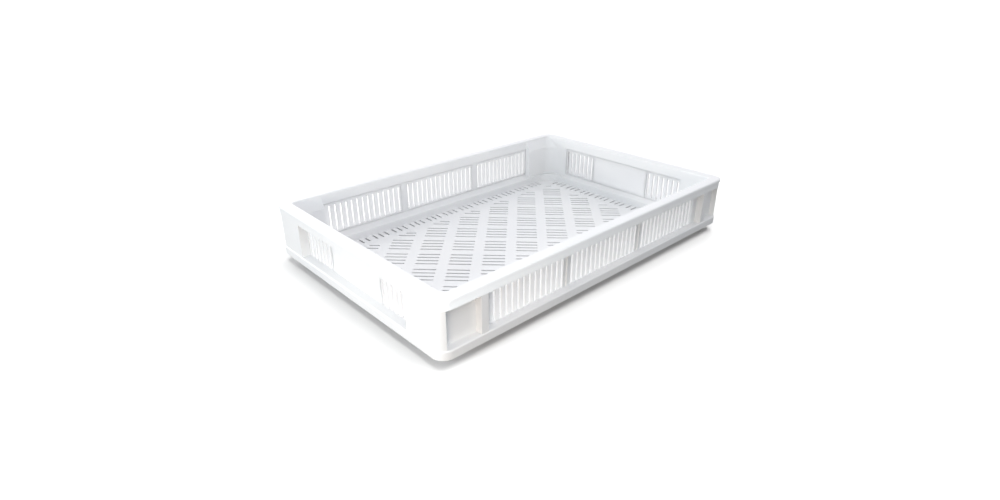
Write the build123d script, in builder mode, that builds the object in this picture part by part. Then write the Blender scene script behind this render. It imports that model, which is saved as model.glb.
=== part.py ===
from build123d import *
import math
import os

# Shallow slotted stacking tray, one white plastic moulding.
# Millimetres, +Z up, +X along the long side, origin at the middle, level with the foot edge of the pan.
# "front" is the long side at -Y, "back" the one at +Y; the ends are "left" at -X and "right" at +X.
# The moulding is divided along its own members: rim, corners, wall bays, skirt, sunken pan and floor.

# overall
LENGTH = 600.0            # over the rim
WIDTH = 400.0
HEIGHT = 92.5
SHEET = 2.8               # wall thickness

# rim: an inverted channel with a stepped outer flange
RIM_PLATE = 3.0           # thickness of the flat top
RIM_LIP = 4.8             # height of the upper, wider lip
RIM_STEP = 1.5            # the flange below the lip is set in by this
FLANGE_T = 2.5
FLANGE_DROP = 15.0        # from the top to the flange's lower edge
RIM_RADIUS = 18.0         # plan radius of the outer corners
RIM_IN_Y = 183.2          # inner edge of the rim along the long walls
RIM_IN_X = 281.0          # inner edge of the rim along the ends
BAND_Z = 74.5             # lower end of the rim's inner band
TOP_OUT_R = 2.4           # rounding of the top's outer edge
TOP_IN_R = 2.2            # rounding of the top's inner edge
EDGE_R = 2.2              # rounding of the ledge and of the sill
INNER_R = 8.0             # plan radius of the rim's inner corners

# walls
PANEL_IN_Y = 185.0        # inner face of the slotted long walls
PANEL_IN_X = 282.5        # inner face of the end walls
BLOCK_IN_Y = 174.5        # inner face of the corner walls on the long sides
BLOCK_TOP_Z = 72.5        # from here up the corner walls lean out to the rim
POST_SIDE_X = 288.5       # side of the posts that closes the corner pockets
POST_INSET = 2.0          # outside of the posts and pilasters, from the rim's edge
PILASTER_X0 = 9.5         # pilaster at the pocket's mouth, measured from the end of the slotted field
PILASTER_X1 = 20.5
CORNER_R = 20.0           # inner plan radius of the corner walls
JAMB_NEAR = 218.0         # end of the slotted field, measured from the middle
JAMB_FAR = 233.0          # the field's other end: it is one slot longer there
RECESS_Y = 131.0          # the end walls are set back between these
SLOT_PITCH = 10.0
SLOT_W = 3.5
SLOT_Z0 = 26.0
SLOT_Z1 = 70.0
RIB_X = 80.0              # plain strips with a rib divide the long walls into three bays
RIB_STRIP = 10.0
RIB_W = 3.0
RIB_OUT = 1.5
END_SLOT_Y = 66.3         # first slot of each group in the end walls
END_SLOTS = 7
END_PLAIN_Y = 61.0        # half-length of the plain middle of the end walls

# base skirt: the outer ledge and the edge that sits on the rim of the tray below
SKIRT_INSET = 0.7
SKIRT_Z0 = 14.0
LEDGE_Z = 26.0
LEDGE_T = 2.5
SKIRT_T = 2.5

# sunken pan
PAN_IN_X = 271.0
PAN_IN_Y = 171.0
PAN_R = 25.0
SILL_Z = 18.0             # front edge of the sill round the pan
SILL_WALL_Z = 22.0        # where the sill meets the slotted walls
SILL_T = 3.0
FOOT = 3.0                # the pan's wall reaches this far below the floor
FLOOR_T = 2.5

# floor openings
FIELD_X = 246.0           # diagonal lattice inside, plain border with short slots outside
FIELD_Y = 146.0
CELL = 50.6               # pitch of the diagonal ribs
CELL_SLOT_PITCH = 10.6
CELL_SLOT_L = 34.8
CELL_SLOT_W = 3.2
FIELD_MARGIN = 3.0
EDGE_GROUP = 36.7         # the short slots stand in threes
EDGE_PITCH = 11.0
EDGE_SLOT_W = 3.2
EDGE_SLOT_L = 17.5
EDGE_SLOT_GAP = 1.2       # from the slot's outer end to the pan wall

# worked out from the above
HX, HY = LENGTH / 2, WIDTH / 2
PLATE_Z = HEIGHT - RIM_PLATE
LIP_Z = HEIGHT - RIM_LIP
FLANGE_Z = HEIGHT - FLANGE_DROP
RCX, RCY = HX - RIM_RADIUS, HY - RIM_RADIUS              # centre of the outer corner radii
ICX, ICY = RIM_IN_X - INNER_R, RIM_IN_Y - INNER_R        # centre of the inner corner radii of the rim
CCX, CCY = RIM_IN_X - CORNER_R, BLOCK_IN_Y - CORNER_R    # centre of the corner walls' radii
PCX, PCY = PAN_IN_X - PAN_R, PAN_IN_Y - PAN_R            # centre of the pan's radii
SKX, SKY = HX - SKIRT_INSET, HY - SKIRT_INSET
POX, POY = HX - POST_INSET, HY - POST_INSET
PANEL_OUT_Y = PANEL_IN_Y + SHEET
PANEL_OUT_X = PANEL_IN_X + SHEET
BLOCK_OUT_Y = BLOCK_IN_Y + SHEET
SKIN_OUT_X = RIM_IN_X + SHEET
PAN_OUT_X, PAN_OUT_Y = PAN_IN_X + SHEET, PAN_IN_Y + SHEET
PANEL_Z0 = SILL_WALL_Z - SILL_T - 0.2
S45 = math.sqrt(0.5)

os.makedirs("parts", exist_ok=True)


def write(part, name):
    part.label = name
    export_step(part, f"parts/{name}.step")


def turned(part):
    """The same member at the opposite side: the tray repeats when it is turned half a turn."""
    with BuildPart() as copy:
        add(part, rotation=(0, 0, 180))
    return copy.part


def contour(points):
    """Closed outline from a list of corner points; a three-point entry is an arc through its middle point."""
    with BuildLine() as outline:
        here = points[0]
        for nxt in points[1:]:
            if len(nxt) == 2 and isinstance(nxt[0], tuple):
                ThreePointArc(here, nxt[0], nxt[1])
                here = nxt[1]
            else:
                Line(here, nxt)
                here = nxt
        Line(here, points[0])
    return outline.line


def flipped(points):
    """The same section on the negative side."""
    out = []
    for q in points:
        if isinstance(q[0], tuple):
            out.append(((-q[0][0], q[0][1]), (-q[1][0], q[1][1])))
        else:
            out.append((-q[0], q[1]))
    return out


def corner_band(x0, y0, sx, sy, cx, cy, r_in, r_out):
    """Outline points of a strip of constant thickness round a corner."""
    def p(x, y):
        return (sx * x, sy * y)
    return [
        p(x0, cy + r_out), p(cx, cy + r_out),
        (p(cx + r_out * S45, cy + r_out * S45), p(cx + r_out, cy)),
        p(cx + r_out, y0), p(cx + r_in, y0), p(cx + r_in, cy),
        (p(cx + r_in * S45, cy + r_in * S45), p(cx, cy + r_in)),
        p(x0, cy + r_in),
    ]


def between(x0, y0, sx, sy, inner, outer):
    """Outline points of the strip between two different rounded corners, each (cx, cy, r)."""
    def p(x, y):
        return (sx * x, sy * y)
    (ax, ay, a), (bx, by, b) = inner, outer
    return [
        p(x0, by + b), p(bx, by + b),
        (p(bx + b * S45, by + b * S45), p(bx + b, by)),
        p(bx + b, y0), p(ax + a, y0), p(ax + a, ay),
        (p(ax + a * S45, ay + a * S45), p(ax, ay + a)),
        p(x0, ay + a),
    ]


# ---------------------------------------------------------------- rim, straight lengths
def rim_section(edge, inner, panel_in):
    """Half-section of the rim: distance from the tray's middle, height."""
    return [
        (inner, HEIGHT - TOP_IN_R),
        ((inner + TOP_IN_R * (1 - S45), HEIGHT - TOP_IN_R * (1 - S45)), (inner + TOP_IN_R, HEIGHT)),
        (edge - TOP_OUT_R, HEIGHT),
        ((edge - TOP_OUT_R * (1 - S45), HEIGHT - TOP_OUT_R * (1 - S45)), (edge, HEIGHT - TOP_OUT_R)),
        (edge, LIP_Z), (edge - RIM_STEP, LIP_Z),
        (edge - RIM_STEP, FLANGE_Z), (edge - RIM_STEP - FLANGE_T, FLANGE_Z),
        (edge - RIM_STEP - FLANGE_T, PLATE_Z),
        (panel_in + SHEET, PLATE_Z), (panel_in + SHEET, BAND_Z), (panel_in, BAND_Z),
        (inner, BAND_Z + 2.0),
    ]


with BuildPart() as rim_front:
    with BuildSketch(Plane.YZ.offset(-JAMB_NEAR)):
        make_face(contour(flipped(rim_section(HY, RIM_IN_Y, PANEL_IN_Y))).edges())
    extrude(amount=JAMB_NEAR + JAMB_FAR)
write(rim_front.part, "rim_front")
write(turned(rim_front.part), "rim_back")

with BuildPart() as rim_left_end:
    with BuildSketch(Plane.XZ.offset(-RECESS_Y)):
        make_face(contour(flipped(rim_section(HX, RIM_IN_X, PANEL_IN_X))).edges())
    extrude(amount=2 * RECESS_Y)
write(rim_left_end.part, "rim_left_end")
write(turned(rim_left_end.part), "rim_right_end")


# ---------------------------------------------------------------- rim corners
def rim_corner(sx, sy, jamb):
    lower_out = RIM_RADIUS - RIM_STEP
    lower_in = lower_out - FLANGE_T
    with BuildPart() as corner:
        with BuildSketch(Plane.XY.offset(PLATE_Z)):
            contour_points = between(jamb, RECESS_Y, sx, sy, (ICX, ICY, INNER_R), (RCX, RCY, RIM_RADIUS))
            make_face(contour(contour_points).edges())
        extrude(amount=RIM_PLATE)
        with BuildSketch(Plane.XY.offset(LIP_Z)):
            make_face(contour(corner_band(jamb, RECESS_Y, sx, sy, RCX, RCY, lower_in, RIM_RADIUS)).edges())
        extrude(amount=PLATE_Z - LIP_Z)
        with BuildSketch(Plane.XY.offset(FLANGE_Z)):
            make_face(contour(corner_band(jamb, RECESS_Y, sx, sy, RCX, RCY, lower_in, lower_out)).edges())
        extrude(amount=LIP_Z - FLANGE_Z)
        top = corner.edges().filter_by_position(Axis.Z, HEIGHT - 0.01, HEIGHT + 0.01)
        outer, inner = [], []
        for e in top:
            c = e @ 0.5
            ax, ay = abs(c.X), abs(c.Y)
            if abs(ax - jamb) < 0.01 or abs(ay - RECESS_Y) < 0.01:
                continue
            far = ax > HX - 0.01 or ay > HY - 0.01 or (ax > RCX and ay > RCY)
            (outer if far else inner).append(e)
        fillet(outer, TOP_OUT_R)
        fillet([e for e in corner.edges().filter_by_position(Axis.Z, HEIGHT - 0.01, HEIGHT + 0.01)
                if any((e @ 0.5 - i @ 0.5).length < 0.01 for i in inner)], TOP_IN_R)
    return corner.part


# ---------------------------------------------------------------- corner posts
def corner_post(sx, sy, jamb):
    """The corner wall, its return to the slotted wall, the outer wall behind the pocket, the pilaster and the hollow post."""
    def p(x, y):
        return (sx * x, sy * y)
    r_out = RIM_RADIUS - POST_INSET
    r_in = r_out - SHEET
    y_out = RCY + math.sqrt(r_out ** 2 - (POST_SIDE_X - RCX) ** 2)
    y_in = RCY + math.sqrt(r_in ** 2 - (POST_SIDE_X - RCX) ** 2)
    a0 = math.acos((POST_SIDE_X - RCX) / r_out) / 2
    a1 = math.acos((POST_SIDE_X - RCX) / r_in) / 2
    low = corner_band(jamb, RECESS_Y, sx, sy, CCX, CCY, CORNER_R, CORNER_R + SHEET)
    high = corner_band(jamb, RECESS_Y, sx, sy, ICX, ICY, INNER_R, INNER_R + SHEET)
    with BuildPart() as post:
        # corner wall: upright, then leaning out to the inner edge of the rim
        with BuildSketch(Plane.XY.offset(SILL_Z)):
            make_face(contour(low).edges())
        extrude(amount=BLOCK_TOP_Z - SILL_Z)
        with BuildPart() as lean:
            with BuildSketch(Plane.XY.offset(BLOCK_TOP_Z)):
                make_face(contour(low).edges())
            with BuildSketch(Plane.XY.offset(PLATE_Z)):
                make_face(contour(high).edges())
            loft(ruled=True)
        # return to the slotted wall
        with BuildSketch(Plane.YZ.offset(sx * (jamb + SHEET / 2))):
            side = [(sy * y, z) for y, z in (
                (BLOCK_IN_Y, SILL_Z), (BLOCK_IN_Y, BLOCK_TOP_Z), (RIM_IN_Y, PLATE_Z),
                (PANEL_OUT_Y, PLATE_Z), (PANEL_OUT_Y, SILL_Z))]
            make_face(contour(side).edges())
        extrude(amount=SHEET / 2, both=True)
        # outer wall in the plane of the slotted wall, with a hollow between it and the corner wall
        near, far = jamb + PILASTER_X0, jamb + PILASTER_X1
        with BuildSketch(Plane.XY.offset(LEDGE_Z)):
            with Locations(p((jamb + SHEET / 2 + POST_SIDE_X + SHEET) / 2, (PANEL_IN_Y + PANEL_OUT_Y) / 2)):
                Rectangle(POST_SIDE_X + SHEET / 2 - jamb, SHEET)
        extrude(amount=PLATE_Z - LEDGE_Z)
        # pilaster: two sides and a face under the rim's flange
        with BuildSketch(Plane.XY.offset(LEDGE_Z)):
            for x in (near + SHEET / 2, far - SHEET / 2):
                with Locations(p(x, (PANEL_IN_Y + POY) / 2)):
                    Rectangle(SHEET, POY - PANEL_IN_Y)
            with Locations(p((near + far) / 2, POY - SHEET / 2)):
                Rectangle(far - near, SHEET)
        extrude(amount=FLANGE_Z - LEDGE_Z)
        # hollow post
        with BuildSketch(Plane.XY.offset(LEDGE_Z)):
            skin = [
                p(POX, RECESS_Y), p(POX, RCY),
                (p(RCX + r_out * math.cos(a0), RCY + r_out * math.sin(a0)), p(POST_SIDE_X, y_out)),
                p(POST_SIDE_X, y_in),
                (p(RCX + r_in * math.cos(a1), RCY + r_in * math.sin(a1)), p(POX - SHEET, RCY)),
                p(POX - SHEET, RECESS_Y),
            ]
            make_face(contour(skin).edges())
            with Locations(p((SKIN_OUT_X + POX) / 2, RECESS_Y + SHEET / 2)):
                Rectangle(POX - SKIN_OUT_X, SHEET)
            with Locations(p(POST_SIDE_X + SHEET / 2, (PANEL_IN_Y + y_in) / 2)):
                Rectangle(SHEET, y_in - PANEL_IN_Y)
        extrude(amount=FLANGE_Z - LEDGE_Z)
    return post.part


# ---------------------------------------------------------------- base skirt corners
def skirt_corner(sx, sy, jamb):
    def p(x, y):
        return (sx * x, sy * y)
    r_out = RIM_RADIUS - SKIRT_INSET
    wall_r = CORNER_R + SHEET
    ledge = [
        p(jamb, SKY), p(RCX, SKY), (p(RCX + r_out * S45, RCY + r_out * S45), p(SKX, RCY)),
        p(SKX, RECESS_Y), p(SKIN_OUT_X, RECESS_Y), p(SKIN_OUT_X, CCY),
        (p(CCX + wall_r * S45, CCY + wall_r * S45), p(CCX, BLOCK_OUT_Y)),
        p(jamb + SHEET, BLOCK_OUT_Y), p(jamb + SHEET, PANEL_OUT_Y), p(jamb, PANEL_OUT_Y),
    ]
    with BuildPart() as corner:
        with BuildSketch(Plane.XY.offset(LEDGE_Z - LEDGE_T)):
            make_face(contour(ledge).edges())
        extrude(amount=LEDGE_T)
        with BuildSketch(Plane.XY.offset(SKIRT_Z0)):
            make_face(contour(corner_band(jamb, RECESS_Y, sx, sy, RCX, RCY, r_out - SKIRT_T, r_out)).edges())
        extrude(amount=LEDGE_Z - LEDGE_T - SKIRT_Z0)
        brim = []
        for e in corner.edges().filter_by_position(Axis.Z, LEDGE_Z - 0.01, LEDGE_Z + 0.01):
            c = e @ 0.5
            ax, ay = abs(c.X), abs(c.Y)
            if abs(ax - jamb) > 0.01 and abs(ay - RECESS_Y) > 0.01 and (
                    ax > SKX - 0.01 or ay > SKY - 0.01 or (ax > RCX and ay > RCY)):
                brim.append(e)
        fillet(brim, EDGE_R)
    return corner.part


# ---------------------------------------------------------------- pan corners
def pan_corner(sx, sy, jamb):
    with BuildPart() as corner:
        with BuildSketch():
            make_face(contour(corner_band(jamb, RECESS_Y, sx, sy, PCX, PCY, PAN_R, PAN_R + SHEET)).edges())
        extrude(amount=SILL_Z)
        with BuildSketch(Plane.XY.offset(SILL_Z - SILL_T)):
            make_face(contour(between(jamb, RECESS_Y, sx, sy, (PCX, PCY, PAN_R + SHEET), (CCX, CCY, CORNER_R + SHEET))).edges())
        extrude(amount=SILL_T)
    return corner.part


for maker, name in ((rim_corner, "rim_corner"), (corner_post, "corner_post"),
                    (skirt_corner, "base_skirt_corner"), (pan_corner, "pan_corner")):
    front_left = maker(-1, -1, JAMB_NEAR)
    front_right = maker(1, -1, JAMB_FAR)
    write(front_left, f"{name}_front_left")
    write(front_right, f"{name}_front_right")
    write(turned(front_left), f"{name}_back_right")
    write(turned(front_right), f"{name}_back_left")


# ---------------------------------------------------------------- slotted long walls
def wall_bay(x0, x1, numbers):
    """A bay of the front wall with upright slots at the given multiples of the pitch."""
    with BuildPart() as bay:
        with BuildSketch(Plane.XZ.offset(PANEL_IN_Y)):
            with Locations(((x0 + x1) / 2, (PANEL_Z0 + BAND_Z) / 2)):
                Rectangle(x1 - x0, BAND_Z - PANEL_Z0)
            with Locations(*[(SLOT_PITCH * k, (SLOT_Z0 + SLOT_Z1) / 2) for k in numbers]):
                RectangleRounded(SLOT_W, SLOT_Z1 - SLOT_Z0, 1.2, mode=Mode.SUBTRACT)
        extrude(amount=SHEET)
    return bay.part


def wall_rib(x):
    """A plain strip with an upright stiffening rib on its outside."""
    with BuildPart() as rib:
        with BuildSketch(Plane.XZ.offset(PANEL_IN_Y)):
            with Locations((x, (PANEL_Z0 + BAND_Z) / 2)):
                Rectangle(RIB_STRIP, BAND_Z - PANEL_Z0)
        extrude(amount=SHEET)
        with BuildSketch(Plane.XZ.offset(PANEL_OUT_Y)):
            with Locations((x, (LEDGE_Z + BAND_Z) / 2)):
                Rectangle(RIB_W, BAND_Z - LEDGE_Z)
        extrude(amount=RIB_OUT)
    return rib.part


half = RIB_STRIP / 2
bays = {
    "left": wall_bay(-JAMB_NEAR, -RIB_X - half, range(-21, -8)),
    "middle": wall_bay(-RIB_X + half, RIB_X - half, range(-7, 8)),
    "right": wall_bay(RIB_X + half, JAMB_FAR, range(9, 23)),
}
opposite = {"left": "right", "middle": "middle", "right": "left"}
for where, bay in bays.items():
    write(bay, f"slotted_panel_front_{where}")
    write(turned(bay), f"slotted_panel_back_{opposite[where]}")
for where, x in (("left", -RIB_X), ("right", RIB_X)):
    rib = wall_rib(x)
    write(rib, f"wall_rib_front_{where}")
    write(turned(rib), f"wall_rib_back_{opposite[where]}")


# ---------------------------------------------------------------- end walls
def end_bay(y0, y1, slots):
    """A stretch of the left end wall."""
    with BuildPart() as bay:
        with BuildSketch(Plane.YZ.offset(-PANEL_OUT_X)):
            with Locations(((y0 + y1) / 2, (PANEL_Z0 + BAND_Z) / 2)):
                Rectangle(y1 - y0, BAND_Z - PANEL_Z0)
            if slots:
                with Locations(*[(y, (SLOT_Z0 + SLOT_Z1) / 2) for y in slots]):
                    RectangleRounded(SLOT_W, SLOT_Z1 - SLOT_Z0, 1.2, mode=Mode.SUBTRACT)
        extrude(amount=SHEET)
    return bay.part


end_slots = [END_SLOT_Y + SLOT_PITCH * k for k in range(END_SLOTS)]
bay = end_bay(-RECESS_Y, -END_PLAIN_Y, [-y for y in end_slots])
write(bay, "slotted_panel_left_end_front")
write(turned(bay), "slotted_panel_right_end_back")
bay = end_bay(END_PLAIN_Y, RECESS_Y, end_slots)
write(bay, "slotted_panel_left_end_back")
write(turned(bay), "slotted_panel_right_end_front")
bay = end_bay(-END_PLAIN_Y, END_PLAIN_Y, [])
write(bay, "plain_panel_left_end")
write(turned(bay), "plain_panel_right_end")

# ---------------------------------------------------------------- base skirt, straight lengths
def skirt_section(edge, panel_out):
    return [
        (panel_out, LEDGE_Z), (edge - EDGE_R, LEDGE_Z),
        ((edge - EDGE_R * (1 - S45), LEDGE_Z - EDGE_R * (1 - S45)), (edge, LEDGE_Z - EDGE_R)),
        (edge, SKIRT_Z0), (edge - SKIRT_T, SKIRT_Z0),
        (edge - SKIRT_T, LEDGE_Z - LEDGE_T), (panel_out, LEDGE_Z - LEDGE_T),
    ]


with BuildPart() as skirt_front:
    with BuildSketch(Plane.YZ.offset(-JAMB_NEAR)):
        make_face(contour(flipped(skirt_section(SKY, PANEL_OUT_Y))).edges())
    extrude(amount=JAMB_NEAR + JAMB_FAR)
write(skirt_front.part, "base_skirt_front")
write(turned(skirt_front.part), "base_skirt_back")

with BuildPart() as skirt_left:
    with BuildSketch(Plane.XZ.offset(-RECESS_Y)):
        make_face(contour(flipped(skirt_section(SKX, PANEL_OUT_X))).edges())
    extrude(amount=2 * RECESS_Y)
write(skirt_left.part, "base_skirt_left_end")
write(turned(skirt_left.part), "base_skirt_right_end")


# ---------------------------------------------------------------- pan sides: drop to the floor and sloping sill behind it
def drop_section(inner):
    return [
        (inner, 0.0), (inner, SILL_Z - EDGE_R),
        ((inner + EDGE_R * (1 - S45), SILL_Z - EDGE_R * (1 - S45)), (inner + EDGE_R, SILL_Z)),
        (inner + SHEET, SILL_Z), (inner + SHEET, 0.0),
    ]


def sill_section(inner, flat_to, panel_in):
    start = inner + SHEET
    flat = [(flat_to, SILL_Z)] if flat_to > start else []
    return [(start, SILL_Z - SILL_T), (start, SILL_Z)] + flat + [
        (panel_in, SILL_WALL_Z), (panel_in, PANEL_Z0), (start + 1.5, SILL_Z - SILL_T),
    ]


for name, section in (("pan_drop", drop_section(PAN_IN_Y)), ("pan_sill", sill_section(PAN_IN_Y, BLOCK_IN_Y, PANEL_IN_Y))):
    with BuildPart() as pan_front:
        with BuildSketch(Plane.YZ.offset(-JAMB_NEAR)):
            make_face(contour(flipped(section)).edges())
        extrude(amount=JAMB_NEAR + JAMB_FAR)
    write(pan_front.part, name + "_front")
    write(turned(pan_front.part), name + "_back")

for name, section in (("pan_drop", drop_section(PAN_IN_X)), ("pan_sill", sill_section(PAN_IN_X, PAN_OUT_X, PANEL_IN_X))):
    with BuildPart() as pan_left:
        with BuildSketch(Plane.XZ.offset(-RECESS_Y)):
            make_face(contour(flipped(section)).edges())
        extrude(amount=2 * RECESS_Y)
    write(pan_left.part, name + "_left_end")
    write(turned(pan_left.part), name + "_right_end")

# ---------------------------------------------------------------- floor
with BuildPart() as border_front:
    with BuildSketch(Plane.XY.offset(FOOT)):
        r = PAN_R
        pts = [
            (-PAN_IN_X, -FIELD_Y),
            ((-PCX - r * S45, -PCY - r * S45), (-PCX, -PAN_IN_Y)),
            (PCX, -PAN_IN_Y),
            ((PCX + r * S45, -PCY - r * S45), (PAN_IN_X, -FIELD_Y)),
        ]
        make_face(contour(pts).edges())
        y = -(PAN_IN_Y - EDGE_SLOT_GAP - EDGE_SLOT_L / 2)
        with Locations(*[(EDGE_GROUP * k + EDGE_PITCH * j, y) for k in range(-6, 7) for j in (-1, 0, 1)]):
            RectangleRounded(EDGE_SLOT_W, EDGE_SLOT_L, 1.2, mode=Mode.SUBTRACT)
    extrude(amount=FLOOR_T)
write(border_front.part, "floor_border_front")
write(turned(border_front.part), "floor_border_back")

with BuildPart() as border_left:
    with BuildSketch(Plane.XY.offset(FOOT)):
        with Locations((-(FIELD_X + PAN_IN_X) / 2, 0)):
            Rectangle(PAN_IN_X - FIELD_X, 2 * FIELD_Y)
        x = -(PAN_IN_X - EDGE_SLOT_GAP - EDGE_SLOT_L / 2)
        with Locations(*[(x, EDGE_GROUP * (k + 0.5) + EDGE_PITCH * j) for k in range(-4, 4) for j in (-1, 0, 1)]):
            RectangleRounded(EDGE_SLOT_L, EDGE_SLOT_W, 1.2, mode=Mode.SUBTRACT)
    extrude(amount=FLOOR_T)
write(border_left.part, "floor_border_left_end")
write(turned(border_left.part), "floor_border_right_end")

# Diagonal ribs cross at the tray's middle; each cell has four slots that run along +X-Y.
slot_at = []
reach = int((FIELD_X + FIELD_Y) / (CELL * 2 * S45)) + 2
for i in range(-reach, reach):
    for j in range(-reach, reach):
        for s in (-1.5, -0.5, 0.5, 1.5):
            u = CELL * (i + 0.5) + CELL_SLOT_PITCH * s
            v = CELL * (j + 0.5)
            x, y = (u + v) * S45, (u - v) * S45
            # what the border leaves of the slot, measured along it
            lo, hi = -CELL_SLOT_L / 2, CELL_SLOT_L / 2
            lx, ly = FIELD_X - FIELD_MARGIN - CELL_SLOT_W, FIELD_Y - FIELD_MARGIN - CELL_SLOT_W
            lo = max(lo, (-lx - x) / S45, (y - ly) / S45)
            hi = min(hi, (lx - x) / S45, (y + ly) / S45)
            if hi - lo > 8.0:
                m = (lo + hi) / 2
                slot_at.append((x + m * S45, y - m * S45, hi - lo))

with BuildPart() as lattice:
    with BuildSketch(Plane.XY.offset(FOOT)):
        Rectangle(2 * FIELD_X, 2 * FIELD_Y)
        for length in sorted({round(l, 3) for _, _, l in slot_at}):
            with Locations(*[(x, y) for x, y, l in slot_at if round(l, 3) == length]):
                SlotOverall(length, CELL_SLOT_W, rotation=-45, mode=Mode.SUBTRACT)
    extrude(amount=FLOOR_T)
write(lattice.part, "floor_lattice")
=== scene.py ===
import math

import bpy
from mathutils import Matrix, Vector

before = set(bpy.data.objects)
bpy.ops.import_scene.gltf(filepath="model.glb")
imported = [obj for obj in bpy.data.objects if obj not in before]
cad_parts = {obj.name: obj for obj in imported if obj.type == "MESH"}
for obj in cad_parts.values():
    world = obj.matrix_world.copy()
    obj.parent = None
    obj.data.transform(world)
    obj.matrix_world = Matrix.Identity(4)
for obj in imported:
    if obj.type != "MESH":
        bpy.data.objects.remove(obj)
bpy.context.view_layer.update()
scene = bpy.context.scene
scene.view_settings.view_transform = "Standard"
scene.view_settings.look = "None"
scene.view_settings.exposure = 0.0

# ------------------------------------------------------------------ camera
# Image 1000 x 500, focal length 593.4 px, principal point in the middle.
cam_data = bpy.data.cameras.new("camera")
cam_data.sensor_fit = "HORIZONTAL"
cam_data.sensor_width = 36.0
cam_data.lens = 593.4 * 36.0 / 1000.0
cam_data.clip_start, cam_data.clip_end = 0.01, 100.0
cam = bpy.data.objects.new("camera", cam_data)
scene.collection.objects.link(cam)
cam.location = (-0.61695, -0.63455, 0.4128)
yaw, pitch = math.radians(47.009), math.radians(25.730)
look = Vector((math.cos(yaw) * math.cos(pitch), math.sin(yaw) * math.cos(pitch), -math.sin(pitch)))
cam.rotation_mode = "QUATERNION"
cam.rotation_quaternion = look.to_track_quat("-Z", "Y")
scene.camera = cam


# ------------------------------------------------------------------ materials
def nodes_of(name):
    mat = bpy.data.materials.new(name)
    mat.use_nodes = True
    tree = mat.node_tree
    return mat, tree, tree.nodes["Principled BSDF"]


def white_plastic(name, let_through):
    """White polyethylene: slightly uneven colour, fine moulded grain, satin with duller rubbed patches."""
    mat, tree, bsdf = nodes_of(name)
    new, link = tree.nodes.new, tree.links.new
    coords = new("ShaderNodeTexCoord")

    cloud = new("ShaderNodeTexNoise")
    cloud.inputs["Scale"].default_value = 9.0
    cloud.inputs["Detail"].default_value = 3.0
    link(coords.outputs["Object"], cloud.inputs["Vector"])
    tint = new("ShaderNodeValToRGB")
    tint.color_ramp.elements[0].position = 0.3
    tint.color_ramp.elements[0].color = (0.855, 0.862, 0.870, 1)
    tint.color_ramp.elements[1].position = 0.7
    tint.color_ramp.elements[1].color = (0.890, 0.890, 0.890, 1)
    link(cloud.outputs["Fac"], tint.inputs["Fac"])
    link(tint.outputs["Color"], bsdf.inputs["Base Color"])

    rub = new("ShaderNodeTexNoise")
    rub.inputs["Scale"].default_value = 38.0
    rub.inputs["Detail"].default_value = 5.0
    link(coords.outputs["Object"], rub.inputs["Vector"])
    rough = new("ShaderNodeMapRange")
    rough.inputs["To Min"].default_value = 0.34
    rough.inputs["To Max"].default_value = 0.56
    link(rub.outputs["Fac"], rough.inputs["Value"])
    link(rough.outputs["Result"], bsdf.inputs["Roughness"])

    grain = new("ShaderNodeTexNoise")
    grain.inputs["Scale"].default_value = 900.0
    grain.inputs["Detail"].default_value = 2.0
    link(coords.outputs["Object"], grain.inputs["Vector"])
    bump = new("ShaderNodeBump")
    bump.inputs["Strength"].default_value = 0.12
    bump.inputs["Distance"].default_value = 0.0004
    link(grain.outputs["Fac"], bump.inputs["Height"])
    link(bump.outputs["Normal"], bsdf.inputs["Normal"])
    bsdf.inputs["IOR"].default_value = 1.5
    # light spreads a few millimetres inside the plastic
    bsdf.inputs["Subsurface Weight"].default_value = let_through
    bsdf.inputs["Subsurface Radius"].default_value = (1.0, 1.0, 1.0)
    bsdf.inputs["Subsurface Scale"].default_value = 0.006
    return mat


# The single walls with the slots let light through, the hollow and ribbed members hardly any.
plastic = white_plastic("white_plastic", 0.0)
thin = white_plastic("white_plastic_thin", 1.0)
for name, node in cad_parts.items():
    node.data.materials.clear()
    node.data.materials.append(thin if name.startswith(("slotted_panel", "plain_panel")) else plastic)

# ------------------------------------------------------------------ floor
def ground(name, grey):
    """A plain matt plane under the tray."""
    bpy.ops.mesh.primitive_plane_add(size=40.0, location=(0, 0, 0))
    plane = bpy.context.object
    plane.name = name
    mat, _, bsdf = nodes_of(name)
    bsdf.inputs["Base Color"].default_value = (grey, grey, grey, 1)
    bsdf.inputs["Roughness"].default_value = 1.0
    bsdf.inputs["Specular IOR Level"].default_value = 0.0
    plane.data.materials.append(mat)
    return plane


# The white floor that is seen, and a duller one that only sends light back to the tray.
floor = ground("studio_floor", 0.95)
floor.visible_diffuse = floor.visible_glossy = floor.visible_transmission = False
bounce = ground("studio_bounce", 0.28)
bounce.visible_camera = bounce.visible_shadow = False

# ------------------------------------------------------------------ light
world = bpy.data.worlds.new("studio")
scene.world = world
world.use_nodes = True
wt = world.node_tree
back = wt.nodes["Background"]
back.inputs["Strength"].default_value = 1.0
wc = wt.nodes.new("ShaderNodeTexCoord")
total = None
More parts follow.
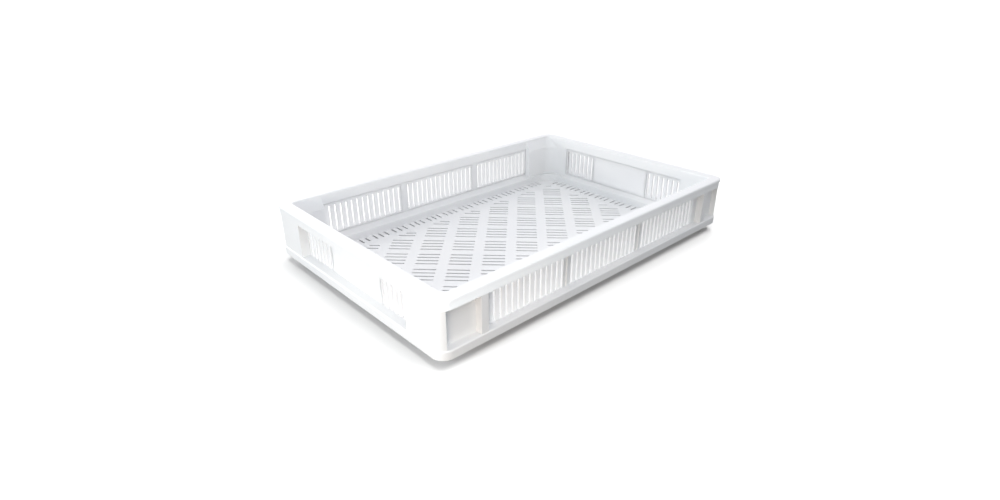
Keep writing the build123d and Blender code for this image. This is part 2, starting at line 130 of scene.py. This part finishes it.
# soft light from one side each: direction, colour times strength
for axis, colour in (
    ((0.0, 0.0, 1.0), (0.65, 0.66, 0.68)),
    ((0.0, 1.0, 0.25), (0.65, 0.65, 0.65)),
    ((0.0, -1.0, 0.25), (0.05, 0.05, 0.05)),
    ((1.0, 0.0, 0.25), (0.69, 0.68, 0.73)),
):
    dot = wt.nodes.new("ShaderNodeVectorMath")
    dot.operation = "DOT_PRODUCT"
    dot.inputs[1].default_value = Vector(axis).normalized()
    wt.links.new(wc.outputs["Generated"], dot.inputs[0])
    lit = wt.nodes.new("ShaderNodeMath")
    lit.operation = "MAXIMUM"
    lit.inputs[1].default_value = 0.0
    wt.links.new(dot.outputs["Value"], lit.inputs[0])
    glow = wt.nodes.new("ShaderNodeVectorMath")
    glow.operation = "SCALE"
    glow.inputs[0].default_value = colour
    wt.links.new(lit.outputs["Value"], glow.inputs["Scale"])
    if total is None:
        total = glow
    else:
        both = wt.nodes.new("ShaderNodeVectorMath")
        both.operation = "ADD"
        wt.links.new(total.outputs["Vector"], both.inputs[0])
        wt.links.new(glow.outputs["Vector"], both.inputs[1])
        total = both
# the camera sees plain white where the floor ends
path = wt.nodes.new("ShaderNodeLightPath")
seen = wt.nodes.new("ShaderNodeMix")
seen.data_type = "RGBA"
colour_a, colour_b = seen.inputs[6], seen.inputs[7]
colour_b.default_value = (1.0, 1.0, 1.0, 1.0)
wt.links.new(path.outputs["Is Camera Ray"], seen.inputs["Factor"])
wt.links.new(total.outputs["Vector"], colour_a)
wt.links.new(seen.outputs[2], back.inputs["Color"])


def place(name, data, where, target):
    obj = bpy.data.objects.new(name, data)
    scene.collection.objects.link(obj)
    obj.location = where
    obj.rotation_mode = "QUATERNION"
    obj.rotation_quaternion = (Vector(target) - Vector(where)).to_track_quat("-Z", "Y")
    obj.visible_camera = False
    return obj


def area(name, where, target, size, watts, colour=(1, 1, 1)):
    data = bpy.data.lights.new(name, "AREA")
    data.shape = "RECTANGLE"
    data.size, data.size_y = size
    data.energy = watts
    data.color = colour
    return place(name, data, where, target)


area("left", (-1.2, 0.0, 0.3), (0.0, 0.0, 0.05), (0.5, 0.5), 4.0, (0.82, 0.96, 1.05))
area("left_low", (-0.9, 0.05, 0.07), (0.0, 0.05, 0.05), (0.8, 0.1), 1.0, (1.08, 1.00, 0.94))
area("back", (-0.2, 1.2, 0.42), (-0.05, -0.18, 0.05), (0.8, 0.12), 5.0)
area("front_left", (-0.85, -0.62, 0.14), (-0.20, -0.20, 0.06), (0.3, 0.15), 2.2, (1.13, 0.99, 0.85))
area("front", (-0.45, -0.60, 0.75), (-0.22, -0.19, 0.08), (0.25, 0.25), 1.2)
area("front_wide", (-0.3, -1.6, 0.22), (0.0, 0.0, 0.06), (1.2, 0.2), 2.0, (0.80, 1.00, 1.08))
# shines on the inside of the front wall, which lets some of it through
through = area("through", (-0.2, 1.2, 0.42), (-0.05, -0.18, 0.05), (0.8, 0.12), 2.0)
front_wall = bpy.data.collections.new("front_wall")
for name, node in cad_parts.items():
    if name.startswith("slotted_panel_front"):
        front_wall.objects.link(node)
through.light_linking.receiver_collection = front_wall
# brightens the outer face of the front rim, most of all by the left corner
edge = area("edge", (-0.55, -0.62, 0.12), (-0.28, -0.20, 0.085), (0.25, 0.10), 1.1, (0.92, 1.00, 1.04))
front_rim = bpy.data.collections.new("front_rim")
for name in ("rim_front", "rim_corner_front_left", "rim_corner_front_right"):
    front_rim.objects.link(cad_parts[name])
edge.light_linking.receiver_collection = front_rim

# an overcast glow that whitens the floor and gives the tray its soft shadow there
floor_only = bpy.data.collections.new("floor_only")
floor_only.objects.link(floor)
for name, where, energy in (
    ("floor_glow", (0.25, -0.05, 1.0), 4.0),
    ("floor_fill", (0.35, -1.0, 0.26), 4.2),
    ("floor_left", (-1.0, 0.10, 0.45), 5.0),
):
    glow = bpy.data.lights.new(name, "SUN")
    glow.energy = energy
    glow.angle = math.radians(60.0)
    place(name, glow, where, (0.0, 0.0, 0.0)).light_linking.receiver_collection = floor_only
